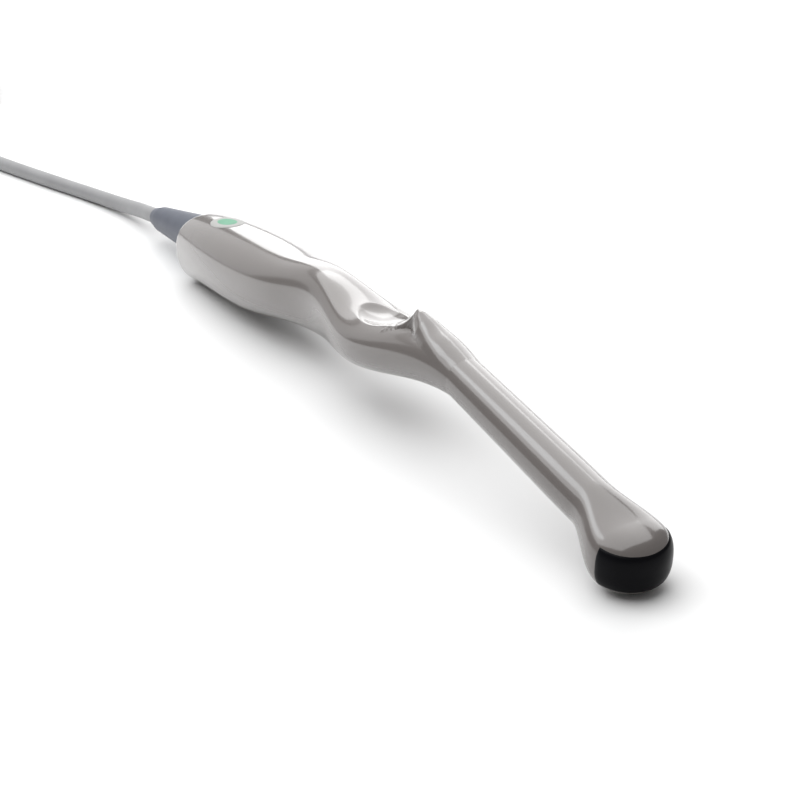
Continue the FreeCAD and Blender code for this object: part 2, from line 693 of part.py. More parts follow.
def rounded_path(points):
    """Straight runs joined by arcs as large as the two runs at each corner allow."""
    points = [Vector(*p) for p in points]
    edges, radii = [], []
    start = points[0]
    for before, corner, after in zip(points, points[1:], points[2:]):
        back, ahead = (before - corner), (after - corner)
        turn = math.pi - back.getAngle(ahead)
        radius = 0.45 * min(back.Length, ahead.Length) / math.tan(turn / 2)
        trim = radius * math.tan(turn / 2)
        enter = corner + back.normalize() * trim
        leave = corner + ahead.normalize() * trim
        bisector = (back + ahead).normalize()
        centre = corner + bisector * (radius / math.cos(turn / 2))
        middle = centre - bisector * radius
        edges.append(Part.LineSegment(start, enter).toShape())
        edges.append(Part.Arc(enter, middle, leave).toShape())
        radii.append(round(radius, 1))
        start = leave
    edges.append(Part.LineSegment(start, points[-1]).toShape())
    return Part.Wire(edges), radii


def cable_tube(name, route):
    path, radii = rounded_path(route)
    radius = float(size.cable_radius)
    ahead = Vector(*route[1]) - Vector(*route[0])
    rim = Part.Wire(Part.Circle(Vector(*route[0]), ahead, radius).toShape())
    tube = path.makePipeShell([rim], True, False)
    expected = math.pi * radius ** 2 * path.Length
    print(f"{name}: length {path.Length:.1f} mm, arc radii {radii}, volume ratio "
          f"{tube.Volume / expected:.4f}")
    return feature(name, tube)


def stadium(name, length, width, height, z):
    """An upright prism of stadium outline about the hank's centre."""
    run = length - width
    centre = place(size.hank_x, size.hank_y, z)
    middle = middle_box(name + "Middle", run, width, height, centre)
    ends = [cylinder(f"{name}End{i}", width * 0.5, height, local(centre, side * float(run) / 2))
            for i, side in enumerate((-1, 1))]
    return fuse(name, [middle] + ends)


def make_cable():
    run = keep(cable_tube("CableRun", CABLE_ROUTE), "cable_run")
    lead = keep(cable_tube("PlugLead", PLUG_ROUTE), "cable_plug_lead")
    lift = float(size.tie_thickness) + 0.1
    outer = stadium("HankOuter", size.hank_length, size.hank_width, size.hank_height, lift)
    hole = stadium("HankHole", size.hank_length - size.hank_width + size.hank_hole, size.hank_hole,
                   size.hank_height + 2, lift - 1)
    keep(cut("Hank", cut("HankRing", outer, hole), fuse("HankEnds", [run, lead])), "cable_hank")
    thick = size.tie_thickness
    centre = place(size.hank_x, size.hank_y, 0)
    loop = middle_box("TieLoop", size.tie_width, size.hank_width + thick * 2 + 0.4,
                      size.hank_height + thick * 2 + 0.2, centre, size.tie_offset)
    window = middle_box("TieWindow", 40, size.hank_width + 0.4, size.hank_height + 0.2, centre,
                        size.tie_offset, 0, thick)
    keep(cut("Tie", loop, window), "hank_tie")


# ---------------------------------------------------------------- connector

# The connector lies on its broad side on the hank: X along it, +Y out of its mating face.
plug_base = float(size.hank_height) + 2 * float(size.tie_thickness) + 0.5
plug_frame = place(size.plug_x, size.plug_y, plug_base)
ALONG_Y = ((1, 0, 0), -90)


def make_housing():
    length, depth, height = size.plug_length, size.plug_depth, size.plug_height
    half = height * 0.5
    block = middle_box("HousingBlock", length, depth, height, plug_frame, 0, -depth * 0.5)
    rounded = doc.addObject("Part::Fillet", "HousingRounded")
    rounded.Base = block
    rounded.Edges = [(i, float(size.plug_round), float(size.plug_round)) for i in range(1, 13)]
    wall = size.plug_wall
    hollow = middle_box("HousingHollow", length - wall * 2, depth - wall * 2, height - wall * 2,
                        plug_frame, 0, -depth * 0.5, wall)
    opening = middle_box("ShroudOpening", size.shroud_length, 12, size.shroud_height, plug_frame, 0, 0,
                         half - size.shroud_height * 0.5)
    knob_hole = cylinder("KnobHole", size.lock_radius + 1.5, 10,
                         local(plug_frame, 0, -float(depth) - 4, half, *ALONG_Y))
    boot_hole = cylinder("BootHole", 5.5, 10, local(plug_frame, -float(length) / 2 - 4,
                                                    -float(size.boot_back), half, (0, 1, 0), 90))
    screw_holes = [cylinder(f"HousingHole{i}", 1.25, 60, local(plug_frame, x, y, -5))
                   for i, (x, y) in enumerate(housing_screw_places())]
    head_wells = [cylinder(f"HousingWell{i}", 2.3, 8.2, local(plug_frame, x, y, -5))
                  for i, (x, y) in enumerate(housing_screw_places())]
    bosses = [cylinder(f"HousingBoss{i}", 3.2, height - wall, local(plug_frame, x, y, wall * 0.5))
              for i, (x, y) in enumerate(housing_screw_places())]
    cavity = cut("HousingCavity", hollow, fuse("HousingBosses", bosses))
    voids = fuse("HousingVoids", [cavity, opening, knob_hole, boot_hole] + screw_holes + head_wells)
    housing = cut("Housing", rounded, voids)
    above = middle_box("HousingAbove", 200, 200, 60, plug_frame, 0, 0, half)
    keep(common("HousingUpper", housing, above), "connector_cover_upper")
    keep(cut("HousingLower", housing, above), "connector_cover_lower")
    screws = []
    for i, (x, y) in enumerate(housing_screw_places()):
        outline = [(1.5, 0), (1.5, 2.2), (3.2, 2.2), (3.2, 1.2), (22, 1.2), (22, 0)]
        screws.append(turned(f"HousingScrew{i}", outline, local(plug_frame, x, y, 0, (0, 1, 0), -90)))
    return screws


def housing_screw_places():
    reach = float(size.plug_length) / 2 - 3.8
    depth = float(size.plug_depth)
    return [(x, y) for x in (-reach, reach) for y in (-6.0, 6.0 - depth)]


def make_connector():
    screws = make_housing()
    keep(group("HousingScrews", screws), "connector_cover_screws")
    half = float(size.plug_height) / 2
    depth = float(size.plug_depth)
    reach, wall = size.shroud_reach, size.shroud_wall
    length, height = size.shroud_length - 0.2, size.shroud_height - 0.2
    outer = middle_box("ShroudOuter", length, reach + 6, height, plug_frame, 0, float(reach) / 2 - 3,
                       half - float(height) / 2)
    inner = middle_box("ShroudInner", length - wall * 2, reach + 8, height - wall * 2, plug_frame,
                       0, float(reach) / 2 - 3, half - float(height) / 2 + float(wall))
    keep(cut("Shroud", outer, inner), "plug_shroud")
    block_height = height - wall * 2 - 0.2
    block = middle_box("BlockStock", length - wall * 2 - 0.2, size.block_depth, block_height, plug_frame,
                       0, -1.0, half - float(block_height) / 2)
    bore = cylinder("BlockBore", size.lock_radius + 0.5, 40,
                    local(plug_frame, 0, -20, half, *ALONG_Y))
    pins, holes = [], []
    for side in (-1, 1):
        for column in range(8):
            for row in (-1.5, -0.5, 0.5, 1.5):
                x, z = side * (5.5 + 2.1 * column), half + 2.6 * row
                pin_corner = plug_frame.multVec(Vector(x - 0.35, -7.4, z - 0.35))
                hole_corner = plug_frame.multVec(Vector(x - 0.4, -8, z - 0.4))
                pins.append(Part.makeBox(0.7, 12.4, 0.7, pin_corner))
                holes.append(Part.makeBox(0.8, 14, 0.8, hole_corner))
    holes = feature("ContactHoles", Part.makeCompound(holes))
    guides = []
    for i, x in enumerate((-float(length) / 2 + 4.2, float(length) / 2 - 4.2)):
        outline = [(-1.5, 0), (-1.5, 2.4), (5.2, 2.4), (5.2, 1.5), (7.4, 1.5), (8.4, 0.6), (8.4, 0)]
        guides.append(turned(f"GuidePin{i}", outline, local(plug_frame, x, 0, half, (0, 0, 1), 90)))
    block_voids = fuse("BlockVoids", [bore, holes] + guides)
    keep(cut("ContactBlock", block, block_voids), "contact_block")
    keep(feature("Contacts", Part.makeCompound(pins)), "plug_contacts")
    keep(group("GuidePins", guides), "guide_pins")

    board_stock = middle_box("PlugBoardStock", 50, 1.6, 20, plug_frame, 0, -8.6, half - 10)
    board_bore = cylinder("PlugBoardBore", size.lock_radius + 1.0, 40,
                          local(plug_frame, 0, -20, half, *ALONG_Y))
    keep(cut("PlugBoard", board_stock, board_bore), "connector_board")

    shield_outer = middle_box("ShieldOuter", 54, 22, 22, plug_frame, 0, -22, half - 11)
    shield_inner = middle_box("ShieldInner", 53, 21, 21, plug_frame, 0, -22, half - 10.5)
    shield_bore = cylinder("ShieldBore", size.lock_radius + 1.0, 80,
                           local(plug_frame, 0, -60, half, *ALONG_Y))
    shield_slot = middle_box("ShieldSlot", 10, 12, 12, plug_frame, -27, -float(size.boot_back) - 1, half - 6)
    keep(cut("Shield", shield_outer, fuse("ShieldVoids", [shield_inner, shield_bore, shield_slot])),
         "connector_shield")


def make_connector_details():
    half = float(size.plug_height) / 2
    length = float(size.plug_length)
    gasket_outer = middle_box("GasketOuter", 64, 0.8, 22, plug_frame, 0, 0.45, half - 11)
    gasket_inner = middle_box("GasketInner", size.shroud_length + 0.2, 4, size.shroud_height + 0.2,
                              plug_frame, 0, 0.5, half - float(size.shroud_height) / 2 - 0.1)
    keep(cut("Gasket", gasket_outer, gasket_inner), "mating_face_gasket")

    boot_frame = local(plug_frame, -length / 2, -float(size.boot_back), half, (0, 0, 1), 180)
    hole = size.cable_radius + 0.02
    tip = size.boot_length
    boot = [(-4, hole), (-4, 6.5), (-2.3, 6.5), (-2.3, 5.4), (0.1, 5.4), (0.1, 8.2), (3, 8.2),
            (tip - 2, 5.2), (tip, 4.6), (tip, hole)]
    keep(turned("PlugBoot", boot, boot_frame), "connector_boot")
    end = [(-6, 0), (-6, size.cable_radius), (tip, size.cable_radius), (tip, 0)]
    keep(turned("PlugJacket", end, boot_frame), "connector_jacket_end")


def make_lock():
    half = float(size.plug_height) / 2
    depth = float(size.plug_depth)
    axis_frame = local(plug_frame, 0, -depth, half, (0, 0, 1), 90)
    knob_top = -size.knob_height - size.knob_stub
    radius = size.lock_radius
    gap = 0.4
    bush = [(-0.2, radius + size.lock_gap), (-0.2, 4.4), (float(size.plug_wall), 4.4),
            (float(size.plug_wall), 6.0), (4.0, 6.0), (4.0, radius + size.lock_gap)]
    keep(turned("LockBush", bush, axis_frame), "lock_bush")
    stem_end = depth + 5.2
    stem = [(-6, 0), (-6, radius), (stem_end, radius), (stem_end, 0)]
    keep(turned("LockStem", stem, axis_frame), "lock_stem")
    disc = [(-gap, radius + 0.02), (-gap, size.knob_radius), (-5, size.knob_radius),
            (-6.0, float(size.knob_radius) - 1), (-6.0, radius + 0.02)]
    plate = turned("KnobDisc", disc, axis_frame)
    grip_frame = local(axis_frame, -9.5, 0, 0)
    grip = middle_box("KnobGrip", 7, 6.5, size.knob_radius * 2 - 2, grip_frame, 0, 0,
                      -float(size.knob_radius) + 1)
    keep(fuse("LockKnob", [plate, grip]), "lock_knob")
    cam_frame = local(axis_frame, stem_end + 1.25, 0, 0)
    keep(middle_box("LockCam", 2.5, 4.0, 9.0, cam_frame, 0, 0, -4.5), "lock_cam")
    washer = [(4.2, radius + 0.02), (4.2, 5.4), (5.2, 5.4), (5.2, radius + 0.02)]
    keep(turned("LockRing", washer, axis_frame), "lock_retaining_ring")


# ---------------------------------------------------------------- build and write


def check_and_write():
    doc.recompute()
    bad = [o.Name for o in doc.Objects if {"Invalid", "Error"} & set(o.State)]
    if bad:
        raise RuntimeError(f"failed objects: {bad}")
    os.makedirs(PARTS_FOLDER, exist_ok=True)
    for item in subparts:
        if item.Shape.isNull() or not item.Shape.isValid() or item.Shape.Volume <= 0:
            raise RuntimeError(f"bad shape: {item.Label}")
        item.Shape.exportStep(os.path.join(PARTS_FOLDER, item.Label + ".step"))
    print(len(subparts), "sub-parts written")


make_head()
make_shaft()
make_flexes()
make_handle()
make_handle_electronics()
make_cable_exit()
make_cable()
make_connector()
make_connector_details()
make_lock()
check_and_write()
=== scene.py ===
import json
import math

import bmesh
import bpy
from mathutils import Matrix, Vector


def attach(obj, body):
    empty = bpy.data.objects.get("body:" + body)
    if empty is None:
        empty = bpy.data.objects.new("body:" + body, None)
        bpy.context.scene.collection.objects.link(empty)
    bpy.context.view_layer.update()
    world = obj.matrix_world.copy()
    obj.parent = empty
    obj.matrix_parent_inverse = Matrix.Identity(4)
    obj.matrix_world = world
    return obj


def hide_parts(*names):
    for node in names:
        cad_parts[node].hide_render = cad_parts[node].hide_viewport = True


# Ultrasound endocavity probe with its cable, hank and connector. Metres, in the CAD frame:
# the probe lies along X with its lens at +X, thumb side up, on the floor at Z = 0.

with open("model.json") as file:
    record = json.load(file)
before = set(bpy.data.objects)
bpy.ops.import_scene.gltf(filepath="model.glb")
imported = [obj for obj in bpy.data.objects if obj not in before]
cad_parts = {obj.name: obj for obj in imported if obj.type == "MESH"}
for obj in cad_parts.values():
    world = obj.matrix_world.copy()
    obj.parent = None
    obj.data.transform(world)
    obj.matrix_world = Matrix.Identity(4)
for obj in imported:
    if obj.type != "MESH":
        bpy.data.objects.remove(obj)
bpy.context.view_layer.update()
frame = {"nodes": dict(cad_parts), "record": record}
nodes = frame["nodes"]
scene = bpy.context.scene
MM = 0.001


# ---------------------------------------------------------------- camera


def make_camera():
    location = Vector((0.6206, -0.26053, 0.2727))
    right = Vector((0.44263, 0.89342, -0.07673)).normalized()
    up = Vector((-0.3193, 0.23699, 0.91754))
    up = (up - right * up.dot(right)).normalized()
    back = right.cross(up)
    data = bpy.data.cameras.new("Camera")
    data.sensor_width = 36
    data.lens = 83.73
    data.clip_start, data.clip_end = 0.01, 20
    camera = bpy.data.objects.new("Camera", data)
    scene.collection.objects.link(camera)
    turn = Matrix((right, up, back)).transposed()
    camera.matrix_world = Matrix.Translation(location) @ turn.to_4x4()
    scene.camera = camera


make_camera()


# ---------------------------------------------------------------- materials


PLASTIC_IOR = 1.5
GRAIN_DEPTH = 0.2 * MM
SMUDGE_RATIO = 2.7  # how much finer the uneven roughness is than the colour variation
SHARP_ANGLE = math.radians(40)


def link(tree, source, output, target, socket):
    tree.links.new(source.outputs[output], target.inputs[socket])


def surface(name, color, roughness, shade=0.08, shade_scale=60, grain=0.0, grain_scale=900,
            worn=0.06, coat=0.0, coat_roughness=0.05, metallic=0.0, specular=0.5):
    """A procedural finish: slow colour variation, uneven roughness and a fine moulded grain."""
    material = bpy.data.materials.new(name)
    material.use_nodes = True
    tree = material.node_tree
    shader = tree.nodes["Principled BSDF"]
    shader.inputs["Metallic"].default_value = metallic
    shader.inputs["Coat Weight"].default_value = coat
    shader.inputs["Coat Roughness"].default_value = coat_roughness
    shader.inputs["Specular IOR Level"].default_value = specular
    shader.inputs["IOR"].default_value = PLASTIC_IOR
    place = tree.nodes.new("ShaderNodeTexCoord")

    slow = tree.nodes.new("ShaderNodeTexNoise")
    slow.inputs["Scale"].default_value = shade_scale
    slow.inputs["Detail"].default_value = 3
    link(tree, place, "Object", slow, "Vector")
    ramp = tree.nodes.new("ShaderNodeValToRGB")
    ramp.color_ramp.elements[0].position = 0.3
    ramp.color_ramp.elements[1].position = 0.7
    ramp.color_ramp.elements[0].color = [c * (1 - shade) for c in color] + [1]
    ramp.color_ramp.elements[1].color = [min(1, c * (1 + shade)) for c in color] + [1]
    link(tree, slow, "Fac", ramp, "Fac")
    link(tree, ramp, "Color", shader, "Base Color")

    smudge = tree.nodes.new("ShaderNodeTexNoise")
    smudge.inputs["Scale"].default_value = shade_scale * SMUDGE_RATIO
    smudge.inputs["Detail"].default_value = 4
    link(tree, place, "Object", smudge, "Vector")
    spread = tree.nodes.new("ShaderNodeMapRange")
    spread.inputs["To Min"].default_value = max(0.02, roughness - worn)
    spread.inputs["To Max"].default_value = min(1.0, roughness + worn)
    link(tree, smudge, "Fac", spread, "Value")
    link(tree, spread, "Result", shader, "Roughness")

    if grain:
        fine = tree.nodes.new("ShaderNodeTexNoise")
        fine.inputs["Scale"].default_value = grain_scale
        fine.inputs["Detail"].default_value = 2
        link(tree, place, "Object", fine, "Vector")
        bump = tree.nodes.new("ShaderNodeBump")
        bump.inputs["Strength"].default_value = grain
        bump.inputs["Distance"].default_value = GRAIN_DEPTH
        link(tree, fine, "Fac", bump, "Height")
        link(tree, bump, "Normal", shader, "Normal")
    return material


finish = {
    "casing": surface("casing", (0.14, 0.126, 0.12), 0.2, shade=0.03, shade_scale=30, worn=0.03,
                      coat=0.6, coat_roughness=0.07, specular=0.45),
    "lens_rubber": surface("lens_rubber", (0.004, 0.004, 0.005), 0.3, shade=0.2, worn=0.05,
                           specular=0.06),
    "matching": surface("matching", (0.12, 0.12, 0.14), 0.5),
    "ceramic": surface("ceramic", (0.62, 0.56, 0.42), 0.6),
    "backing": surface("backing", (0.02, 0.02, 0.024), 0.7),
    "carrier": surface("carrier", (0.04, 0.04, 0.046), 0.5, grain=0.2),
    "flex_film": surface("flex_film", (0.5, 0.22, 0.03), 0.25, coat=0.4),
    "board": surface("board", (0.01, 0.09, 0.035), 0.35, coat=0.3),
    "chip": surface("chip", (0.012, 0.012, 0.014), 0.45, grain=0.2),
    "socket": surface("socket", (0.03, 0.027, 0.024), 0.4),
    "steel": surface("steel", (0.55, 0.56, 0.58), 0.24, metallic=1.0, shade=0.05),
    "shield_metal": surface("shield_metal", (0.6, 0.5, 0.42), 0.32, metallic=1.0),
    "seal_rubber": surface("seal_rubber", (0.015, 0.015, 0.017), 0.55),
    "clamp_plastic": surface("clamp_plastic", (0.25, 0.25, 0.25), 0.5, grain=0.2),
    "bundle": surface("bundle", (0.3, 0.3, 0.33), 0.6, grain=0.5, grain_scale=500),
    "cable_jacket": surface("cable_jacket", (0.24, 0.24, 0.245), 0.42, shade=0.06, shade_scale=90,
                            grain=0.12, grain_scale=1400, worn=0.05),
    "relief_rubber": surface("relief_rubber", (0.062, 0.071, 0.096), 0.5, shade=0.06, grain=0.12,
                             grain_scale=1400),
    "badge_white": surface("badge_white", (0.36, 0.36, 0.35), 0.6, shade=0.04, specular=0.05),
    "badge_green": surface("badge_green", (0.16, 0.33, 0.235), 0.6, shade=0.1, specular=0.05),
    "tie": surface("tie", (0.012, 0.012, 0.014), 0.85, grain=0.6, grain_scale=1500),
    "housing": surface("housing", (0.45, 0.44, 0.42), 0.45, grain=0.25, grain_scale=1800),
    "knob": surface("knob", (0.045, 0.055, 0.07), 0.4, grain=0.2),
    "contact_gold": surface("contact_gold", (0.85, 0.6, 0.25), 0.25, metallic=1.0),
}

slot_of = {entry["node"]: entry["material_slot"] for entry in frame["record"]["subparts"]}
for name, node in nodes.items():
    node.data.materials.clear()
    node.data.materials.append(finish[slot_of[name]])


def piece(name, mesh, material, body, *replaced):
    """A finished mesh piece that rides on a body and stands for CAD nodes."""
    item = bpy.data.objects.new(name, mesh)
    scene.collection.objects.link(item)
    mesh.materials.append(finish[material])
    for polygon in mesh.polygons:
        polygon.use_smooth = True
    mesh.set_sharp_from_angle(angle=SHARP_ANGLE)
    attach(item, body)
    if replaced:
        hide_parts(*replaced)
    return item


# ---------------------------------------------------------------- cable

# The route from the strain relief along the floor, and from the hank up to the connector, are
# lists of control points; the hank's turns between them are worked out below.

CABLE_RADIUS, CABLE_LENGTH = 0.00375, 1.71
EXIT = (-0.21535, 0.0, 0.0112)

CABLE_ROUTE = [
    EXIT,
    (-0.2372, 0.0, 0.00896),
    (-0.264, -0.0009, 0.0052),
    (-0.3, -0.007, 0.00375),
    (-0.35, -0.0194, 0.00375),
    (-0.403, -0.0314, 0.00375),
    (-0.455, -0.0412, 0.00375),
    (-0.503, -0.0474, 0.00375),
    (-0.541, -0.0499, 0.0043),
    (-0.572, -0.0502, 0.00495),
]

PLUG_ROUTE = [
    (-0.630, -0.0502, 0.01245),
    (-0.6505, -0.0504, 0.0132),
    (-0.673, -0.0503, 0.0188),
    (-0.6957, -0.0502, 0.0203),
    (-0.7103, -0.036, 0.0236),
    (-0.7103, -0.0158, 0.0283),
    (-0.6957, -0.0015, 0.0317),
    (-0.675, -0.0015, 0.0317),
]

HANK_CENTRE = Vector((-0.627, -0.0202, 0))
HANK_HALF_RUN = 0.05625
LOW, HIGH = 0.00495, 0.01245  # heights of the two layers
WIDE, TIGHT = 0.030, 0.0225  # radii of the outer and inner turns at their ends
END_STEP, END_POINTS = 30, 6


def hank_end(side, radius, height):
    """The control points of one half turn round an end of the hank."""
    reach = radius / math.cos(math.radians(END_STEP / 2))
    points = []
    for i in range(END_POINTS):
        angle = math.radians((-105 if side < 0 else 75) - END_STEP * i)
        points.append(HANK_CENTRE + Vector((side * HANK_HALF_RUN + reach * math.cos(angle),
                                            reach * math.sin(angle), height)))
    return points


def hank_run(side, steps):
    """Control points along one straight of the hank: (share of the run, radius, height)."""
    return [HANK_CENTRE + Vector((-side * HANK_HALF_RUN + side * 2 * HANK_HALF_RUN * share,
                                  side * radius, height)) for share, radius, height in steps]


def hank_points():
    points = hank_run(-1, [(0.85, WIDE, LOW)])
    points += hank_end(-1, WIDE, LOW)
    points += hank_run(1, [(0.12, WIDE, LOW), (0.5, WIDE, LOW), (0.62, WIDE - 0.001, LOW),
                           (0.84, TIGHT + 0.001, LOW), (0.95, TIGHT, LOW)])
    points += hank_end(1, TIGHT, LOW)
    points += hank_run(-1, [(0.12, TIGHT, LOW), (0.5, TIGHT + 0.0002, LOW), (0.88, TIGHT, LOW)])
    points += hank_end(-1, TIGHT, LOW)
    points += hank_run(1, [(0.1, TIGHT, LOW), (0.27, TIGHT, LOW + 0.0008), (0.45, TIGHT, HIGH - 0.0002),
                           (0.6, TIGHT, HIGH), (0.9, TIGHT, HIGH)])
    points += hank_end(1, TIGHT, HIGH)
    points += hank_run(-1, [(0.12, TIGHT, HIGH), (0.5, TIGHT + 0.0002, HIGH), (0.88, TIGHT, HIGH)])
    points += hank_end(-1, TIGHT, HIGH)
    points += hank_run(1, [(0.02, TIGHT + 0.0012, HIGH), (0.2, WIDE - 0.0004, HIGH),
                           (0.35, WIDE, HIGH), (0.9, WIDE, HIGH)])
    points += hank_end(1, WIDE, HIGH)
    points += hank_run(-1, [(0.12, WIDE, HIGH), (0.3, WIDE, HIGH)])
    return points


def make_cable():
    curve = bpy.data.curves.new("cable", "CURVE")
    curve.dimensions = "3D"
    curve.bevel_depth = CABLE_RADIUS
    curve.bevel_resolution = 8
    curve.use_fill_caps = True
    curve.resolution_u = 12
    points = [Vector(p) for p in CABLE_ROUTE] + hank_points() + [Vector(p) for p in PLUG_ROUTE]
    line = curve.splines.new("NURBS")
    line.points.add(len(points) - 1)
    for point, place in zip(line.points, points):
        point.co = (*place, 1)
    line.order_u = 3
    line.use_endpoint_u = True
    line.use_smooth = True
    cable = bpy.data.objects.new("cable", curve)
    scene.collection.objects.link(cable)
    curve.materials.append(finish["cable_jacket"])
    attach(cable, "probe")
    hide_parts("cable_run", "cable_hank", "cable_plug_lead")
    return cable


cable = make_cable()


# ---------------------------------------------------------------- probe forms
#
# Probe frame in millimetres: +X along the shaft to the tip, +Z the thumb side, X = 0 at the
# lens centre; "back" is the distance behind it. PITCH, SHIFT and LIFT lay the probe on the floor.

PITCH, SHIFT, LIFT = math.radians(10.24), 203.1, 14.89
SIDES = 160

STATION_STEP, FIRST_STATION, HEEL = 34, 102, 340
TOPS = [7.6, 2.2, -8.9, -10.1, -19.1, -28.0, -36.6, -46.8]
BOTTOMS = [-7.6, -17.0, -28.8, -36.4, -45.1, -57.4, -66.2, -75.8]
HALVES = [7.6, 11.8, 15.0, 11.2, 14.7, 17.6, 17.8, 15.8]
CAP_LENGTH, CAP_HEIGHT, CAP_WIDTH = 11.0, 9.0, 13.0
TILT, TILT_RUN, GRIP_EXPONENT = 15.5, 68.0, 2.4

# The lip above the thumb rest, which narrows and rises towards the rear: back, half width, top.
LIP = [(102, 7.6, 7.6), (112, 7.2, 7.9), (121, 6.7, 8.6), (129, 5.6, 9.4), (134, 3.9, 9.8), (137, 2.0, 9.4)]
LIP_FOOT, LIP_FOOT_RUN, SHAFT_END = -4.0, 10.0, 7.6
LIP_RAMP, RAMP_SPREAD, RAMP_POWER = 12.0, 7.0, 2.6
LIP_BLEND_START, LIP_BLEND, LIP_BLEND_RUN = 0.05, 3.2, 16.0
NO_LIP = -99.0


def in_row(x, y, z):
    """A probe-frame point in the row frame, in metres."""
    return Vector((x * math.cos(PITCH) + z * math.sin(PITCH) + SHIFT, y,
                   z * math.cos(PITCH) - x * math.sin(PITCH) + LIFT)) * MM


def smooth(t):
    t = min(1.0, max(0.0, t))
    return t * t * (3 - 2 * t)


def spline(values):
    """A smooth curve through values at the handle's stations."""
    count = len(values)
    slopes = [0.0] * count
    slopes[0] = (-11 * values[0] + 18 * values[1] - 9 * values[2] + 2 * values[3]) / 6
    slopes[-1] = (11 * values[-1] - 18 * values[-2] + 9 * values[-3] - 2 * values[-4]) / 6
    for _ in range(60):
        for i in range(1, count - 1):
            slopes[i] = (3 * (values[i + 1] - values[i - 1]) - slopes[i - 1] - slopes[i + 1]) / 4

    def curve(back):
        t = (back - FIRST_STATION) / STATION_STEP
        i = min(count - 2, max(0, int(t)))
        t -= i
        return (values[i] * (1 - 3 * t * t + 2 * t ** 3) + slopes[i] * (t - 2 * t * t + t ** 3)
                + values[i + 1] * (3 * t * t - 2 * t ** 3) + slopes[i + 1] * (t ** 3 - t * t))

    return curve


top_line, bottom_line, half_line = spline(TOPS), spline(BOTTOMS), spline(HALVES)
tail_slope = (top_line(HEEL) - top_line(HEEL - 20) + bottom_line(HEEL) - bottom_line(HEEL - 20)) / 40


def handle_size(back):
    """Half width, half height, centre, exponent and tilt of the handle's section."""
    past, at = max(0.0, back - HEEL), min(back, HEEL)
    swing = math.asin(min(1.0, past / CAP_LENGTH))
    round_off = 1 - math.cos(swing)
    top = top_line(at) + tail_slope * past - CAP_HEIGHT * round_off
    bottom = bottom_line(at) + tail_slope * past + CAP_HEIGHT * round_off
    half = half_line(at) - CAP_WIDTH * round_off
    ease = smooth((back - FIRST_STATION) / TILT_RUN)
    return (half, (top - bottom) / 2, (top + bottom) / 2, 2 + (GRIP_EXPONENT - 2) * ease,
            math.tan(math.radians(TILT * ease)))


def rounded_section(half, high, exponent, angle):
    c, s = math.cos(angle), math.sin(angle)
    r = ((abs(c) / half) ** exponent + (abs(s) / high) ** exponent) ** (-1 / exponent)
    return r * c, r * s


def surface_height(x, y):
    """The height of the handle's thumb side over a point of the probe frame."""
    back = -x
    z = 0.0
    for _ in range(12):
        half, high, centre, exponent, lean = handle_size(back)
        z = high * max(0.0, 1 - (abs(y) / half) ** exponent) ** (1 / exponent)
        back = -x - lean * z
    return centre + z


def surface_place(back):
    """Origin, along and normal directions on the thumb side's centre line."""
    half, high, centre, exponent, lean = handle_size(back)
    slope = (top_line(back + 2) - top_line(back - 2)) / 4
    along = Vector((-1, 0, slope)).normalized()
    return Vector((-back - lean * high, 0, centre + high)), along, Vector((slope, 0, 1)).normalized()


def soft_max(a, b, k):
    """The larger of two values, with a rounded change-over of size k."""
    h = max(k - abs(a - b), 0.0) / k
    return max(a, b) + h * h * k / 4


def lip_height(x, y):
    """The top of the lip over a point of the probe frame; behind its end it ramps down."""
    back = -x
    if back < LIP[0][0] or back > LIP[-1][0] + LIP_RAMP:
        return NO_LIP
    foot = -SHAFT_END + (LIP_FOOT + SHAFT_END) * smooth((back - FIRST_STATION) / LIP_FOOT_RUN)
    fade = 0.0
    if back > LIP[-1][0]:
        fade = (back - LIP[-1][0]) / LIP_RAMP
        half, top = LIP[-1][1] + RAMP_SPREAD * fade, LIP[-1][2]
    else:
        i = next(i for i in range(len(LIP) - 1) if back <= LIP[i + 1][0])
        t = (back - LIP[i][0]) / (LIP[i + 1][0] - LIP[i][0])
        half = LIP[i][1] + (LIP[i + 1][1] - LIP[i][1]) * t
        top = LIP[i][2] + (LIP[i + 1][2] - LIP[i][2]) * t
    if abs(y) >= half:
        return NO_LIP
    high = (top - foot) / 2
    ridge = (top + foot) / 2 + high * math.sqrt(1 - (y / half) ** 2)
    if fade:
        base = surface_height(x, y) - 1.0
        ridge = base + (ridge - base) * (1 - fade) ** RAMP_POWER
    return ridge


THUMB_BACK, THUMB_LENGTH, THUMB_WIDTH, THUMB_DEPTH = 159.7, 27.0, 18.0, 2.5
THUMB_RISE, THUMB_RIM, THUMB_REACH = 6.0, 0.55, 12
thumb_origin, thumb_along, thumb_normal = surface_place(THUMB_BACK)


def thumb_dip(point):
    """Push a point of the thumb side down onto the oval bowl, with a soft rim."""
    offset = point - thumb_origin
    u, v, w = offset.dot(thumb_along), offset.y, offset.dot(thumb_normal)
    reach = THUMB_RISE + THUMB_DEPTH
    grow = 1 / math.sqrt(1 - (THUMB_RISE / reach) ** 2)
    inside = 1 - (u / (THUMB_LENGTH / 2 * grow)) ** 2 - (v / (THUMB_WIDTH / 2 * grow)) ** 2
    if inside <= 0 or abs(w) > THUMB_REACH:
        return point
    bowl = THUMB_RISE - reach * math.sqrt(inside)
    return point + thumb_normal * (-soft_max(-w, -bowl, THUMB_RIM) - w)


def mesh_from(name, points, faces):
    mesh = bpy.data.meshes.new(name)
    mesh.from_pydata([tuple(p) for p in points], [], faces)
    shape = bmesh.new()
    shape.from_mesh(mesh)
    bmesh.ops.remove_doubles(shape, verts=shape.verts, dist=1e-6)
    bmesh.ops.recalc_face_normals(shape, faces=shape.faces)
    shape.to_mesh(mesh)
    shape.free()
    return mesh


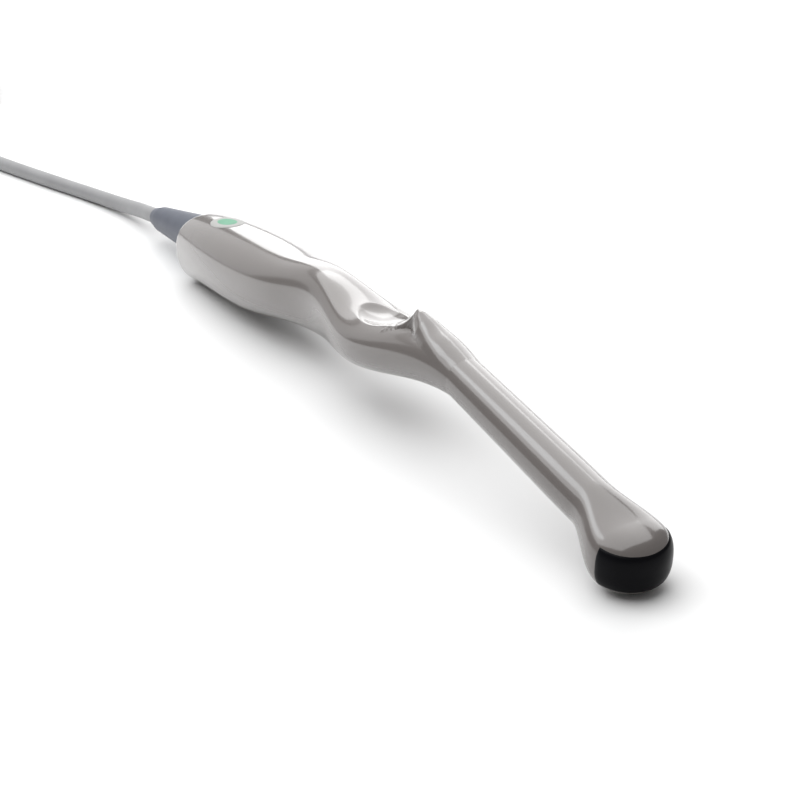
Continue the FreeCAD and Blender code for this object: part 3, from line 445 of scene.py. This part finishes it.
def rings_mesh(name, rings):
    """A tube of equal rings, closed by a face at each end."""
    count = len(rings[0])
    points = [p for ring in rings for p in ring]
    faces = []
    for r in range(len(rings) - 1):
        for i in range(count):
            j = (i + 1) % count
            faces.append((r * count + i, r * count + j, (r + 1) * count + j, (r + 1) * count + i))
    faces.append(tuple(range(count))[::-1])
    faces.append(tuple((len(rings) - 1) * count + i for i in range(count)))
    return mesh_from(name, points, faces)


FINE_STEP, FINE_RINGS = 0.5, 200
COARSE_STEP, COARSE_RINGS = 1.2, 115


def handle_mesh():
    """Both handle shells as one skin, with finer rings along the lip and the thumb rest."""
    backs = [FIRST_STATION + FINE_STEP * i for i in range(FINE_RINGS)]
    rear = FIRST_STATION + FINE_STEP * FINE_RINGS
    backs += [rear + COARSE_STEP * i for i in range(COARSE_RINGS)] + [HEEL]
    backs += [HEEL + CAP_LENGTH * math.sin(math.radians(a)) for a in range(6, 90, 6)]
    rings = []
    for back in backs:
        half, high, centre, exponent, lean = handle_size(back)
        ring = []
        for i in range(SIDES):
            y, z = rounded_section(half, high, exponent, 2 * math.pi * i / SIDES)
            point = Vector((-back - lean * z, y, centre + z))
            if z > 0:
                blend = LIP_BLEND_START + LIP_BLEND * smooth((back - FIRST_STATION) / LIP_BLEND_RUN)
                point.z = soft_max(point.z, lip_height(point.x, point.y), blend)
                point = thumb_dip(point)
            ring.append(in_row(*point))
        rings.append(ring)
    return rings_mesh("handle", rings)


EDGE_ROLL = 14  # the rolled edge is one part in this many of the plate


def slab_mesh(name, place, rows, columns, thickness):
    """A closed curved plate: place(s, t, drop) for s and t from 0 to 1, its edge rolled in to the back."""
    points, faces = [], []

    def roll(s, t):
        near = min(s, 1 - s, t, 1 - t) * EDGE_ROLL
        return 0.0 if near >= 1 else -(1 - math.sqrt(1 - (1 - near) ** 2))

    for lower in (False, True):
        for i in range(rows + 1):
            for j in range(columns + 1):
                s, t = i / rows, j / columns
                drop = -thickness if lower else roll(s, t) * thickness
                points.append(place(s, t, drop))
    width, layer = columns + 1, (rows + 1) * (columns + 1)
    for i in range(rows):
        for j in range(columns):
            a = i * width + j
            faces.append((a, a + 1, a + width + 1, a + width))
            faces.append((layer + a, layer + a + width, layer + a + width + 1, layer + a + 1))
    return mesh_from(name, points, faces)


# ---------------------------------------------------------------- head

LENS_RADIUS, HEAD_HIGH, HEAD_CENTRE, HEAD_EXPONENT = 13.0, 10.25, -4.25, 2.8
NECK_LENGTH, NOSE_BACK, SHAFT_NOSE, SHAFT_HANDLE = 21.0, 36.0, 8.3, 7.6
LENS_TOP, LENS_BOTTOM, LENS_ANGLE = 2.7, -10.7, math.radians(85)
LENS_PROUD, LENS_SKIN = 0.3, 0.9
NECK_RINGS, DISC_TURNS = 40, 72


def head_ring(x):
    """One section of the nose: the shaft's circle, then the neck, which flows into the disc."""
    along = (x + NECK_LENGTH) / NECK_LENGTH
    ease = smooth(along)
    half = SHAFT_NOSE + (LENS_RADIUS - SHAFT_NOSE) * ease
    high = SHAFT_NOSE + (HEAD_HIGH - SHAFT_NOSE) * ease
    exponent = 2 + (HEAD_EXPONENT - 2) * ease
    centre = HEAD_CENTRE * ease
    points = []
    for i in range(SIDES):
        y, z = rounded_section(half, high, exponent, 2 * math.pi * i / SIDES)
        points.append(Vector((x, y, centre + z)))
    return points


def nose_mesh():
    """The shaft end and neck as rings, and the front of the disc turned about the lens axis."""
    stops = [-NOSE_BACK, -NECK_LENGTH - 5]
    stops += [-NECK_LENGTH + NECK_LENGTH * i / NECK_RINGS for i in range(NECK_RINGS + 1)]
    rings = [[in_row(*p) for p in head_ring(x)] for x in stops]
    points = [p for ring in rings for p in ring]
    faces = [tuple(range(SIDES))[::-1]]
    for r in range(len(rings) - 1):
        for i in range(SIDES):
            j = (i + 1) % SIDES
            faces.append((r * SIDES + i, r * SIDES + j, (r + 1) * SIDES + j, (r + 1) * SIDES + i))
    quarter = SIDES // 4
    start = len(points)
    profile = [rounded_section(LENS_RADIUS, HEAD_HIGH, HEAD_EXPONENT, 2 * math.pi * i / SIDES)
               for i in range(quarter, -quarter - 1, -1)]
    for m in range(DISC_TURNS + 1):
        azimuth = math.pi / 2 - math.pi * m / DISC_TURNS
        for radius, z in profile:
            points.append(in_row(radius * math.cos(azimuth), radius * math.sin(azimuth), HEAD_CENTRE + z))
    row = len(profile)
    for m in range(DISC_TURNS):
        for k in range(row - 1):
            a = start + m * row + k
            faces.append((a, a + 1, a + row + 1, a + row))
    return mesh_from("nose", points, faces)


def lens_place(s, t, drop):
    """A point of the lens face: s runs down it and t round it."""
    z = LENS_TOP + (LENS_BOTTOM - LENS_TOP) * s
    azimuth = LENS_ANGLE * (2 * t - 1)
    radius = LENS_RADIUS * (1 - (abs(z - HEAD_CENTRE) / HEAD_HIGH) ** HEAD_EXPONENT) ** (1 / HEAD_EXPONENT)
    radius += LENS_PROUD + drop
    return in_row(radius * math.cos(azimuth), radius * math.sin(azimuth), z)


# ---------------------------------------------------------------- badge

BADGE_BACK = 313.8
PLATE_TURNS, PLATE_STEPS = 72, 14
RIM_DROP, RIM_EASE = 0.18, 0.05
badge_origin, badge_along, badge_normal = surface_place(BADGE_BACK)


def oval_plate(name, length, width, proud, thickness):
    """An oval plate that follows the handle's thumb side, with a rounded rim."""
    points, faces = [], []
    turns, steps = PLATE_TURNS, PLATE_STEPS
    drops = {steps: RIM_DROP, steps - 1: RIM_EASE}
    layers = [(i / steps, proud - drops.get(i, 0.0)) for i in range(1, steps + 1)]
    layers.append((1.0, -thickness))
    middle = badge_origin.copy()
    middle.z = surface_height(middle.x, 0) + proud
    points.append(in_row(*middle))
    for share, height in layers:
        for i in range(turns):
            angle = 2 * math.pi * i / turns
            u, v = share * length / 2 * math.cos(angle), share * width / 2 * math.sin(angle)
            x = badge_origin.x + badge_along.x * u
            point = Vector((x, v, surface_height(x, v)))
            points.append(in_row(*(point + badge_normal * height)))
    for i in range(turns):
        faces.append((0, 1 + i, 1 + (i + 1) % turns))
    for layer in range(len(layers) - 1):
        a = 1 + layer * turns
        for i in range(turns):
            j = (i + 1) % turns
            faces.append((a + i, a + turns + i, a + turns + j, a + j))
    last = 1 + (len(layers) - 1) * turns
    faces.append(tuple(last + i for i in range(turns)))
    return mesh_from(name, points, faces)


# ---------------------------------------------------------------- turned pieces


def turned_mesh(name, outline, origin, droop, segments=96):
    """A closed ring of (along, radius) corners turned about an axis that points forward and up."""
    slope = math.radians(droop)
    points, faces = [], []
    for along, radius in outline:
        for i in range(segments):
            angle = 2 * math.pi * i / segments
            y, z = radius * math.cos(angle), radius * math.sin(angle)
            points.append(in_row(origin[0] + along * math.cos(slope) - z * math.sin(slope), y,
                                 origin[1] + along * math.sin(slope) + z * math.cos(slope)))
    count = len(outline)
    for k in range(count):
        after = (k + 1) % count
        for i in range(segments):
            j = (i + 1) % segments
            faces.append((k * segments + i, k * segments + j, after * segments + j, after * segments + i))
    return mesh_from(name, points, faces)


EXIT_ORIGIN, EXIT_DROOP = (-340.0, -57.5), 16.1
RELIEF_BASE, RELIEF_TIP, RELIEF_LENGTH, RELIEF_SEAT = 10.5, 5.7, 78.0, 4.0
RELIEF_TAPER = RELIEF_LENGTH - 9.5
SHAFT_BORE, SHAFT_STEPS = 6.1, 12


def relief_outline():
    """The strain relief's profile: a long taper with a chamfered tip, and a hole for the cable."""
    hole = CABLE_RADIUS / MM + 0.02
    front, tip = RELIEF_SEAT, RELIEF_SEAT - RELIEF_LENGTH
    outline = [(front, hole), (front, RELIEF_BASE)]
    steps = 24
    for i in range(1, steps + 1):
        share = i / steps
        outline.append((front - RELIEF_TAPER * share,
                        RELIEF_BASE + (RELIEF_TIP + 0.45 - RELIEF_BASE) * share))
    outline += [(tip + 8.6, RELIEF_TIP + 0.3), (tip + 7.6, RELIEF_TIP), (tip + 1.0, 4.7), (tip + 0.3, 4.4)]
    outline.append((tip, hole))
    return outline


def shaft_outline():
    """The shaft tube's profile, from the nose back to the handle."""
    length = FIRST_STATION - NOSE_BACK
    outline = [(0.0, SHAFT_BORE), (0.0, SHAFT_NOSE)]
    for i in range(1, SHAFT_STEPS + 1):
        radius = SHAFT_NOSE + (SHAFT_HANDLE - SHAFT_NOSE) * i / SHAFT_STEPS
        outline.append((-length * i / SHAFT_STEPS, radius))
    return outline + [(-length, SHAFT_BORE)]


piece("handle", handle_mesh(), "casing", "probe", "handle_shell_upper", "handle_shell_lower")
piece("nose", nose_mesh(), "casing", "probe", "nose_shell")
piece("shaft", turned_mesh("shaft", shaft_outline(), (-NOSE_BACK, 0), 0), "casing", "probe", "shaft_tube")
piece("lens", slab_mesh("lens", lens_place, 36, 90, LENS_SKIN), "lens_rubber", "probe", "acoustic_lens")
piece("badge", oval_plate("badge", 23.0, 13.5, 0.28, 0.8), "badge_white", "probe", "badge_plate")
piece("badge_mark", oval_plate("badge_mark", 15.5, 8.0, 0.36, 0.3), "badge_green", "probe", "badge_inlay")
piece("strain_relief_boot", turned_mesh("strain_relief_boot", relief_outline(), EXIT_ORIGIN, EXIT_DROOP),
      "relief_rubber", "probe", "strain_relief")


# ---------------------------------------------------------------- connector pieces and stage

CONNECTOR_NAMES = ("connector_", "lock_", "plug_", "contact_", "guide_", "mating_")
connector_pieces = [nodes[n] for n in sorted(nodes) if n.startswith(CONNECTOR_NAMES)]
connector_pieces += [nodes["hank_tie"], bpy.data.objects["strain_relief_boot"]]


def make_floor():
    mesh = bpy.data.meshes.new("floor")
    shape = bmesh.new()
    bmesh.ops.create_grid(shape, x_segments=8, y_segments=8, size=6)
    shape.to_mesh(mesh)
    shape.free()
    floor = bpy.data.objects.new("floor", mesh)
    scene.collection.objects.link(floor)
    material = bpy.data.materials.new("floor")
    material.use_nodes = True
    shader = material.node_tree.nodes["Principled BSDF"]
    shader.inputs["Base Color"].default_value = (0.78, 0.78, 0.78, 1)
    shader.inputs["Roughness"].default_value = 0.9
    shader.inputs["Specular IOR Level"].default_value = 0.1
    mesh.materials.append(material)


make_floor()


def area_light(name, place, target, width, height, power, color=(1, 1, 1)):
    data = bpy.data.lights.new(name, "AREA")
    data.shape = "RECTANGLE"
    data.size, data.size_y = width, height
    data.energy = power
    data.color = color
    light = bpy.data.objects.new(name, data)
    scene.collection.objects.link(light)
    light.location = place
    light.rotation_mode = "QUATERNION"
    light.rotation_quaternion = (Vector(target) - Vector(place)).to_track_quat("-Z", "Y")


world = bpy.data.worlds.new("World")
world.use_nodes = True
world.node_tree.nodes["Background"].inputs["Color"].default_value = (1, 1, 1, 1)
world.node_tree.nodes["Background"].inputs["Strength"].default_value = 0.2
scene.world = world
scene.view_settings.view_transform = "Standard"
# Soft panels: three that the casing reflects and a small one for the streak along the shaft.
area_light("overhead", (-0.42, -0.12, 1.3), (-0.05, 0, 0), 2.5, 2.3, 45)
area_light("behind", (-1.0, 0.95, 0.64), (0.05, 0, 0.04), 1.6, 1.15, 15)
area_light("rear", (-1.7, -0.3, 0.42), (-0.1, 0, 0.04), 1.3, 0.78, 2.4)
area_light("streak", (-0.6, -0.46, 0.95), (0.1, 0, 0.04), 0.36, 0.36, 1.1, (0.92, 0.97, 1.0))
